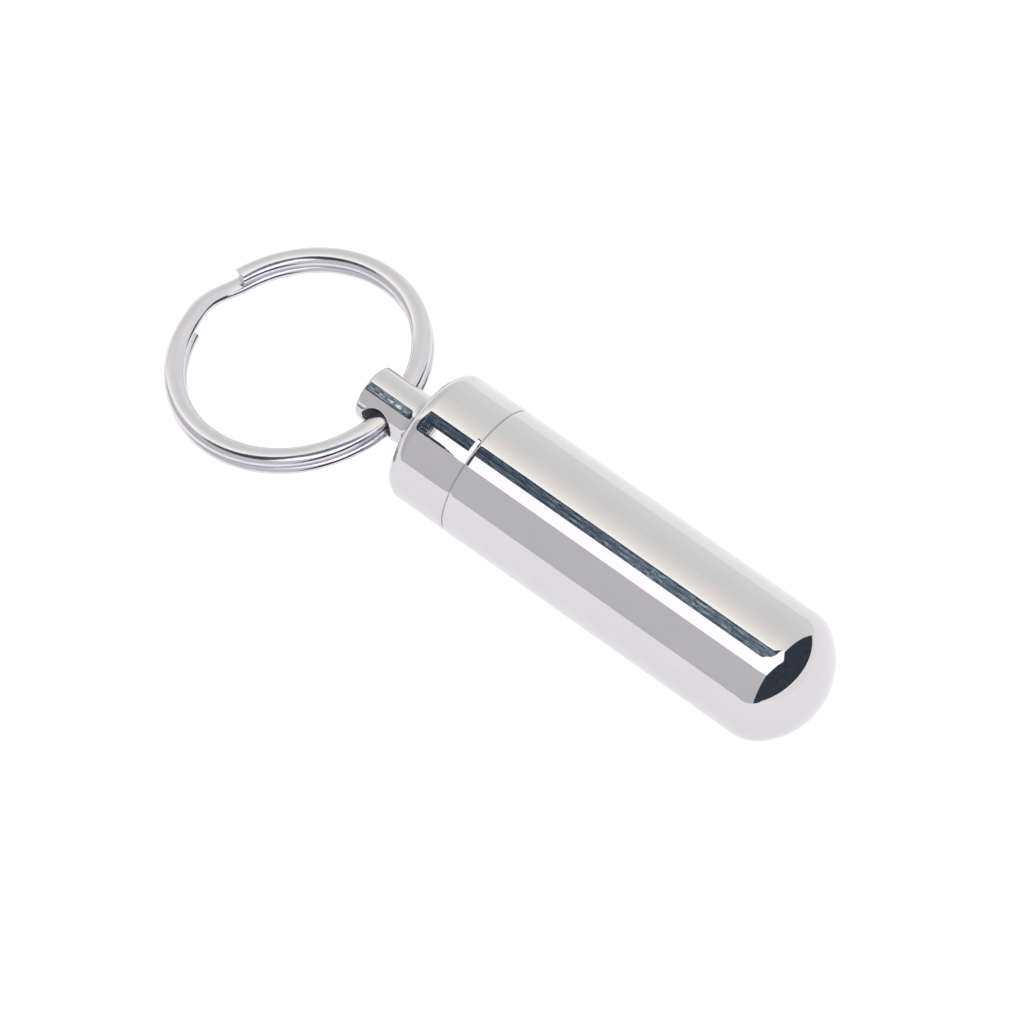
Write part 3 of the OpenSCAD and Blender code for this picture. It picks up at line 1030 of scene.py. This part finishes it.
def paint_panel(graph):
    """The bright panel beside the slot. Over the cap it ends in bars, and its far rim draws in."""
    x, y, along = roof_places(graph)
    bars = card_noise(graph, along, y, 3.4, 0.004, detail=0.0)
    wanted = graph.between(along, *PANEL_END, *BAR_LEVELS, smooth=False)
    wanted += graph.between(y, *BAR_THIN_Y, 0, 0.08)
    shown = graph.between(bars - wanted, -BAR_SOFT, BAR_SOFT)
    whole = graph.between(along, PANEL_END[1] - PANEL_END_SOFT, PANEL_END[1] + PANEL_END_SOFT)
    shown = graph.larger(shown, whole)
    shown *= graph.between(along, PANEL_END[0] - PANEL_END_SOFT, PANEL_END[0])
    ragged = card_noise(graph, along, y, 3.1, 0.0, detail=1.0) * RIM_RAGGED
    far_rim = graph.between(along, *RIM_END, *RIM_Y)
    within = graph.between(y - far_rim + ragged, *RIM_SOFT)
    off_slot = graph.larger(graph.between(y, *PANEL_ROOM_Y, 1, 0), graph.between(x, *PANEL_ROOM_X))
    shown *= within * off_slot
    return PANEL_LIGHT, graph.larger(shown, post_flecks(graph, y, along))


def make_floor():
    """A sheet of pale paper, which glows because the tent lights it from all sides."""
    mesh = bpy.data.meshes.new("floor")
    half = FLOOR_HALF * MM
    corners = [(-half, -half), (half, -half), (half, half), (-half, half)]
    mesh.from_pydata([(x, y, FLOOR_Z * MM) for x, y in corners], [], [(0, 1, 2, 3)])
    floor = placed("floor", mesh)
    material = bpy.data.materials.new("floor_paper")
    material.use_nodes = True
    graph = Graph(material.node_tree)
    surface = graph.nodes["Principled BSDF"]
    fibre = graph.noise(graph.millimetres(), scale=0.8, detail=4.0)
    graph.put(surface.inputs["Base Color"], graph.mix(fibre, PAPER_COLOR, PAPER_TINT))
    graph.put(surface.inputs["Roughness"], 0.9)
    graph.put(surface.inputs["Specular IOR Level"], 0.0)
    graph.put(surface.inputs["Emission Color"], WHITE)
    graph.put(surface.inputs["Emission Strength"], PAPER_GLOW)
    mesh.materials.append(material)


def make_softbox():
    """A large soft lamp overhead that shows in no reflection."""
    lamp = bpy.data.lights.new("softbox", "AREA")
    lamp.shape = "DISK"
    lamp.size = SOFTBOX_SIZE * MM
    lamp.energy = SOFTBOX_WATTS
    softbox = placed("softbox", lamp)
    softbox.location = [v * MM for v in SOFTBOX_PLACE]
    softbox.rotation_euler = (-softbox.location).to_track_quat("-Z", "Y").to_euler()
    softbox.visible_glossy = False


def make_camera():
    """The camera at the photo's place. What it sees is shown as it is, with no film look."""
    view = bpy.data.cameras.new("camera")
    view.sensor_width = SENSOR
    view.lens = FOCAL_PIXELS / IMAGE_PIXELS * SENSOR
    view.clip_end = CLIP_END * MM
    camera = placed("camera", view)
    turn = Matrix((RIGHT, UP, BACK)).transposed().to_4x4()
    camera.matrix_world = Matrix.Translation(CAMERA * MM) @ turn
    bpy.context.scene.camera = camera
    bpy.context.scene.view_settings.view_transform = "Standard"


fob_metal = polished_steel()
bore_metal = machined_steel()
wire_metal = plated_wire()
rubber = seal_rubber()

barrel = make_barrel(fob_metal, bore_metal)
cap = make_cap(fob_metal, bore_metal)
male = make_thread("spigot_thread", bore_metal, CORE_R, MALE_CREST_R, SPIGOT_END_X, phase=0.0)
female = make_thread("mouth_thread", bore_metal, MOUTH_R, FEMALE_CREST_R, MOUTH_END_X, phase=0.5)
seal = make_seal(rubber)
ring = make_split_ring(wire_metal)

for piece, body, node, slot in (
    (barrel, "barrel", "barrel", "fob_metal"),
    (cap, "cap", "cap", "fob_metal"),
    (seal, "seal", "o_ring", "seal_rubber"),
    (ring, "key_ring", "split_ring", "ring_wire"),
):
    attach(piece, body)
    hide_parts(node)
for piece, body in ((male, "cap"), (female, "barrel")):
    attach(piece, body)

studio_world()
card("roof_slot", SLOT_OUTLINE, ROOF_Z, paint_slot)
card("roof_panel", PANEL_OUTLINE, ROOF_Z - 1, paint_panel)
make_floor()
make_softbox()
make_camera()
